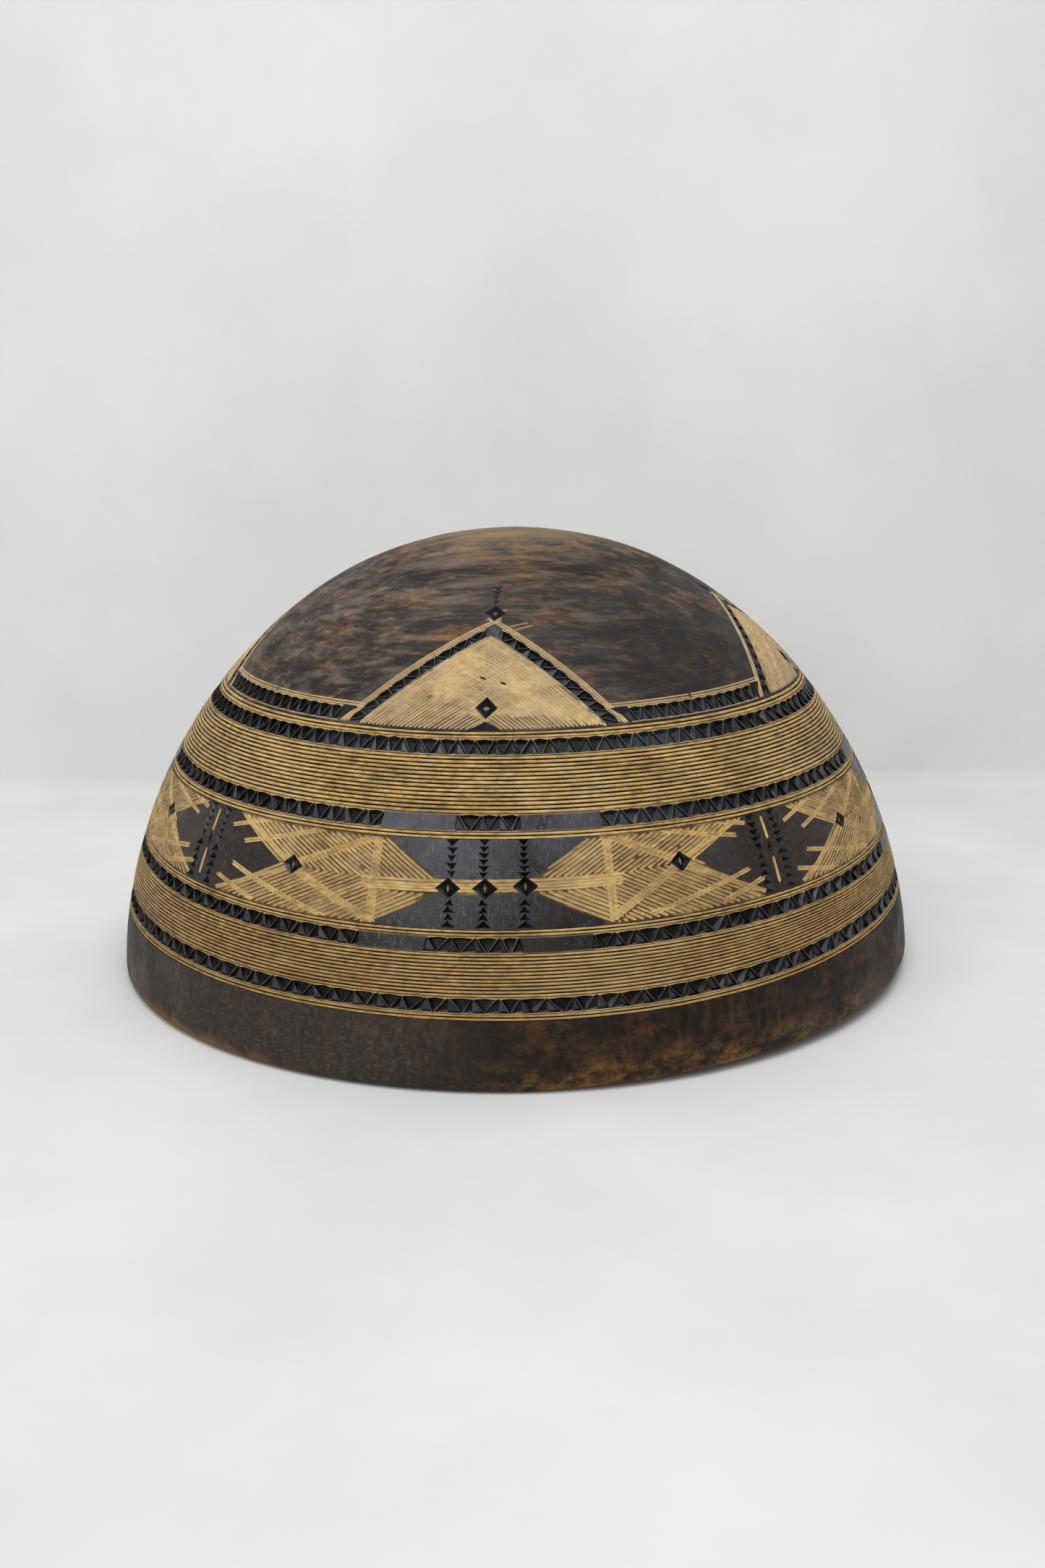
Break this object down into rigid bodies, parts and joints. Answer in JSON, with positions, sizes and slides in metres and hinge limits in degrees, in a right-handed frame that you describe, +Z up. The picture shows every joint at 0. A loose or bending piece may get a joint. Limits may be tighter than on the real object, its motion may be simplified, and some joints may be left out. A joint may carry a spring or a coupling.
{
  "type": "carved wooden bowl",
  "caption": "Deep hemispherical bowl carved from one block of wood, with a thick rounded rim and a small worn foot, lying upside down on its rim.",
  "frame": {"origin": "on the ground, at the centre of the rim", "axes": "+Z up along the bowl's axis, out of the crown; -Y towards the side with the diamond frieze's centre; the rim rises a little towards +X and -Y"},
  "size_m": [0.3398, 0.3398, 0.181],
  "materials": {
    "carved_wood": "dense hardwood stained nearly black, burnished, with ochre bare wood where it is engraved and worn"
  },
  "bodies": {
    "root": {"bowl": "carved_wood"}
  },
  "joints": []
}
